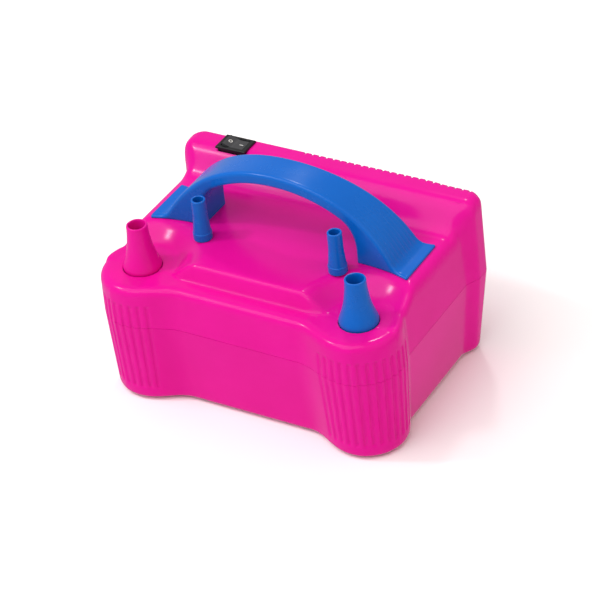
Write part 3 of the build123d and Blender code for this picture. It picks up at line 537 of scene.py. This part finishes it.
# ---------------------------------------------------------------- marks on the rocker
ROCKER_PIVOT = Vector((SWITCH[0], SWITCH[1], DECK_Z - 1.0))
ROCKER_TILT = 10.0
MARK_BASE = 1.95                 # height of the rocker's face above its pivot, at the middle
MARK_HALF, MARK_SIDES = 0.05, 40
OFF_MARK = (-3.9, 1.25, 0.85)    # ring: place along the rocker, outer and inner radius
ON_MARK = (3.9, 2.6, 0.5)        # bar: place along the rocker, length and width
FACE_RISE = 0.1925               # how fast the rocker's face climbs from its middle to an end


def rocker_marks():
    """A ring and a bar, moulded slightly proud on the two sloping faces of the rocker."""
    bm = bmesh.new()
    half, (middle, outer, inner) = MARK_HALF, OFF_MARK
    turns = [2 * math.pi * i / MARK_SIDES for i in range(MARK_SIDES)]
    rings = []
    for radius, height in ((outer, -half), (outer, half), (inner, half), (inner, -half)):
        rings.append([bm.verts.new((middle + radius * math.cos(t), radius * math.sin(t), height))
                      for t in turns])
    for a, b in zip(rings, rings[1:] + rings[:1]):
        for i in range(MARK_SIDES):
            j = (i + 1) % MARK_SIDES
            bm.faces.new((a[i], a[j], b[j], b[i]))
    box = bmesh.ops.create_cube(bm, size=1.0)["verts"]
    bmesh.ops.scale(bm, vec=(ON_MARK[1], ON_MARK[2], 2 * half), verts=box)
    bmesh.ops.translate(bm, vec=(ON_MARK[0], 0, 0), verts=box)
    bmesh.ops.recalc_face_normals(bm, faces=bm.faces)
    for v in bm.verts:
        v.co.z += MARK_BASE + FACE_RISE * abs(v.co.x)
    mesh = bpy.data.meshes.new("rocker_marks")
    bm.to_mesh(mesh)
    bm.free()
    mesh.transform(Matrix.Translation(ROCKER_PIVOT) @ Matrix.Rotation(math.radians(ROCKER_TILT), 4, "Y"))
    obj = bpy.data.objects.new("rocker_marks", mesh)
    bpy.context.scene.collection.objects.link(obj)
    return finished(obj, 30)


marks = rocker_marks()
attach(marks, "switch_rocker")


# ---------------------------------------------------------------- materials
SKIN_GRAIN, SKIN_DEPTH = 700.0, 0.00002      # fine texture of moulded plastic: cells per metre, depth
METAL_GRAIN, METAL_DEPTH = 600.0, 0.00008


def node_tree(name):
    mat = bpy.data.materials.new(name)
    mat.use_nodes = True
    tree = mat.node_tree
    shader = next(n for n in tree.nodes if n.type == "BSDF_PRINCIPLED")
    return mat, tree, shader


def link(tree, source, target):
    tree.links.new(source, target)


def noise(tree, scale, detail=3.0, rough=0.55):
    """Noise in object space, its scale in cells per metre."""
    place = tree.nodes.new("ShaderNodeTexCoord")
    tex = tree.nodes.new("ShaderNodeTexNoise")
    tex.inputs["Scale"].default_value = scale
    tex.inputs["Detail"].default_value = detail
    tex.inputs["Roughness"].default_value = rough
    link(tree, place.outputs["Object"], tex.inputs["Vector"])
    return tex.outputs["Fac"]


def ramp(tree, fac, low, high, a, b):
    """Maps fac from low..high to a..b."""
    node = tree.nodes.new("ShaderNodeMapRange")
    for name, value in zip(("From Min", "From Max", "To Min", "To Max"), (low, high, a, b)):
        node.inputs[name].default_value = value
    link(tree, fac, node.inputs["Value"])
    return node.outputs["Result"]


def tint(tree, fac, colour_a, colour_b):
    node = tree.nodes.new("ShaderNodeMix")
    node.data_type = "RGBA"
    node.inputs["A"].default_value = (*colour_a, 1)
    node.inputs["B"].default_value = (*colour_b, 1)
    link(tree, fac, node.inputs["Factor"])
    return node.outputs["Result"]


def bump(tree, height, strength, depth, shader):
    node = tree.nodes.new("ShaderNodeBump")
    node.inputs["Strength"].default_value = strength
    node.inputs["Distance"].default_value = depth
    link(tree, height, node.inputs["Height"])
    link(tree, node.outputs["Normal"], shader.inputs["Normal"])


def moulded(name, colour, shade, gloss, spec=0.3):
    """Moulded plastic: flow-mottled colour, uneven gloss and a fine skin texture."""
    mat, tree, shader = node_tree(name)
    cloud = noise(tree, 28.0, 4.0)
    link(tree, tint(tree, ramp(tree, cloud, 0.35, 0.65, 0, 1), colour, shade), shader.inputs["Base Color"])
    smear = noise(tree, 75.0, 5.0, 0.6)
    link(tree, ramp(tree, smear, 0.3, 0.7, *gloss), shader.inputs["Roughness"])
    bump(tree, noise(tree, SKIN_GRAIN, 2.0), 0.2, SKIN_DEPTH, shader)
    shader.inputs["IOR"].default_value = 1.47
    shader.inputs["Specular IOR Level"].default_value = spec
    return mat


def metal(name, colour, shade, gloss, stretch):
    """Metal with a drawn or laminated grain, long across the stretch direction."""
    mat, tree, shader = node_tree(name)
    place = tree.nodes.new("ShaderNodeTexCoord")
    scale = tree.nodes.new("ShaderNodeMapping")
    scale.inputs["Scale"].default_value = stretch
    link(tree, place.outputs["Object"], scale.inputs["Vector"])
    tex = tree.nodes.new("ShaderNodeTexNoise")
    tex.inputs["Scale"].default_value = METAL_GRAIN
    tex.inputs["Detail"].default_value = 4.0
    link(tree, scale.outputs["Vector"], tex.inputs["Vector"])
    link(tree, tint(tree, tex.outputs["Fac"], colour, shade), shader.inputs["Base Color"])
    link(tree, ramp(tree, tex.outputs["Fac"], 0.3, 0.7, *gloss), shader.inputs["Roughness"])
    bump(tree, tex.outputs["Fac"], 0.4, METAL_DEPTH, shader)
    shader.inputs["Metallic"].default_value = 1.0
    return mat


def granular(name, colour, shade, gloss, grain, depth):
    """Rubber or pressed carbon: matt, with a coarse grain."""
    mat, tree, shader = node_tree(name)
    speck = noise(tree, grain, 3.0, 0.7)
    link(tree, tint(tree, ramp(tree, speck, 0.3, 0.7, 0, 1), colour, shade), shader.inputs["Base Color"])
    link(tree, ramp(tree, noise(tree, grain / 6), 0.3, 0.7, *gloss), shader.inputs["Roughness"])
    bump(tree, speck, 0.5, depth, shader)
    return mat


PINK, PINK_SHADE = (0.72, 0.004, 0.285), (0.695, 0.003, 0.268)
BLUE, BLUE_SHADE = (0.001, 0.122, 0.530), (0.001, 0.112, 0.500)

BLACK, BLACK_SHADE = (0.006, 0.006, 0.007), (0.010, 0.010, 0.011)
ROCKER, ROCKER_SHADE = (0.035, 0.035, 0.038), (0.045, 0.045, 0.049)
WHITE, WHITE_SHADE = (0.78, 0.77, 0.74), (0.72, 0.71, 0.68)
GREY, GREY_SHADE = (0.22, 0.225, 0.235), (0.18, 0.185, 0.195)
STEEL, STEEL_SHADE = (0.62, 0.62, 0.63), (0.5, 0.5, 0.51)
IRON, IRON_SHADE = (0.34, 0.33, 0.34), (0.17, 0.165, 0.17)
COPPER, COPPER_SHADE = (0.72, 0.28, 0.11), (0.45, 0.14, 0.05)
BRASS, BRASS_SHADE = (0.80, 0.60, 0.28), (0.66, 0.47, 0.20)
CARBON, CARBON_SHADE = (0.02, 0.02, 0.022), (0.045, 0.045, 0.048)
RUBBER, RUBBER_SHADE = (0.016, 0.016, 0.017), (0.03, 0.03, 0.031)

finish_of = {
    "pink_plastic": moulded("pink_moulding", PINK, PINK_SHADE, (0.15, 0.22), 0.16),
    "blue_plastic": moulded("blue_moulding", BLUE, BLUE_SHADE, (0.2, 0.3), 0.26),
    "black_plastic": moulded("black_moulding", BLACK, BLACK_SHADE, (0.25, 0.35)),
    "rocker_plastic": moulded("rocker_moulding", ROCKER, ROCKER_SHADE, (0.18, 0.26), 0.4),
    "white_plastic": moulded("white_moulding", WHITE, WHITE_SHADE, (0.35, 0.5)),
    "grey_plastic": moulded("grey_moulding", GREY, GREY_SHADE, (0.4, 0.55)),
    "steel": metal("drawn_steel", STEEL, STEEL_SHADE, (0.22, 0.4), (1, 1, 12)),
    "lamination": metal("laminated_core", IRON, IRON_SHADE, (0.35, 0.6), (0.02, 0.02, 3)),
    "copper": metal("enamelled_copper", COPPER, COPPER_SHADE, (0.18, 0.35), (0.05, 0.05, 2)),
    "brass": metal("turned_brass", BRASS, BRASS_SHADE, (0.2, 0.38), (1, 1, 6)),
    "carbon": granular("pressed_carbon", CARBON, CARBON_SHADE, (0.5, 0.7), 3000.0, 0.0001),
    "rubber": granular("cast_rubber", RUBBER, RUBBER_SHADE, (0.6, 0.8), 1500.0, 0.00012),
}

for name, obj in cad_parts.items():
    used = obj.data.materials[0].name if obj.data.materials else ""
    kind = next((k for k in finish_of if k in used), "grey_plastic")
    for holder in obj.material_slots:
        holder.material = finish_of["rocker_plastic" if name == "switch_rocker" else kind]
for name, kind in (("upper_case_skin", "pink_plastic"), ("lower_case_skin", "pink_plastic"),
                   ("strap_handle", "blue_plastic"), ("rocker_marks", "white_plastic"),
                   ("pink_bell", "pink_plastic"), ("blue_bell", "blue_plastic"),
                   ("press_spring", "steel")):
    bpy.data.objects[name].data.materials.clear()
    bpy.data.objects[name].data.materials.append(finish_of[kind])

# ---------------------------------------------------------------- camera
AZIMUTH, ELEVATION, ROLL, DISTANCE = 33.25, 35.43, -6.55, 1.6
LOOK_AT = Vector((-0.0047, 0.0146, 0.0419))
az, el, roll = (math.radians(v) for v in (AZIMUTH, ELEVATION, ROLL))
back = Vector((math.sin(az) * math.cos(el), -math.cos(az) * math.cos(el), math.sin(el)))
level = Vector((math.cos(az), math.sin(az), 0))
rise = back.cross(level)
right = level * math.cos(roll) + rise * math.sin(roll)
turn = Matrix((right, back.cross(right), back)).transposed()
lens = bpy.data.cameras.new("camera")
lens.lens, lens.sensor_width = 157.5, 36.0
lens.clip_start, lens.clip_end = 0.05, 20.0
camera = bpy.data.objects.new("camera", lens)
camera.matrix_world = Matrix.Translation(LOOK_AT + DISTANCE * back) @ turn.to_4x4()
bpy.context.scene.collection.objects.link(camera)
bpy.context.scene.camera = camera

# ---------------------------------------------------------------- floor and light
bm = bmesh.new()
bmesh.ops.create_grid(bm, x_segments=1, y_segments=1, size=6.0)
floor_mesh = bpy.data.meshes.new("floor")
bm.to_mesh(floor_mesh)
bm.free()
floor = bpy.data.objects.new("floor", floor_mesh)
floor_mat, tree, shader = node_tree("floor_paper")
shader.inputs["Base Color"].default_value = (0.96, 0.96, 0.96, 1)
shader.inputs["Roughness"].default_value = 0.9
shader.inputs["Specular IOR Level"].default_value = 0.1
floor_mesh.materials.append(floor_mat)
bpy.context.scene.collection.objects.link(floor)
floor.visible_glossy = False

world = bpy.data.worlds.new("studio")
world.use_nodes = True
world.node_tree.nodes["Background"].inputs["Color"].default_value = (1, 1, 1, 1)
world.node_tree.nodes["Background"].inputs["Strength"].default_value = 0.5
bpy.context.scene.world = world


LAMP_DISTANCE = 1.2


def lamp(name, kind, azimuth, elevation, power, spread, colour=(1, 1, 1)):
    """Light aimed at the object from a direction; spread is a sun's angle or an area light's side."""
    a, e = math.radians(azimuth), math.radians(elevation)
    out = Vector((math.sin(a) * math.cos(e), -math.cos(a) * math.cos(e), math.sin(e)))
    data = bpy.data.lights.new(name, kind)
    data.energy, data.color = power, colour
    if kind == "SUN":
        data.angle = math.radians(spread)
    else:
        data.shape, data.size = "SQUARE", spread
    holder = bpy.data.objects.new(name, data)
    holder.location = Vector((0, 0, 0.06)) + LAMP_DISTANCE * out
    holder.rotation_euler = out.to_track_quat("Z", "Y").to_euler()
    bpy.context.scene.collection.objects.link(holder)


lamp("key", "SUN", -25, 60, 1.65, 55)
lamp("fill", "SUN", 80, 40, 0.6, 70, colour=(1.0, 0.66, 0.5))
lamp("sparkle", "AREA", -60, 48, 3.0, 0.10)
lamp("sparkle_rear", "AREA", 200, 55, 2.0, 0.10)

bpy.context.scene.view_settings.view_transform = "Standard"
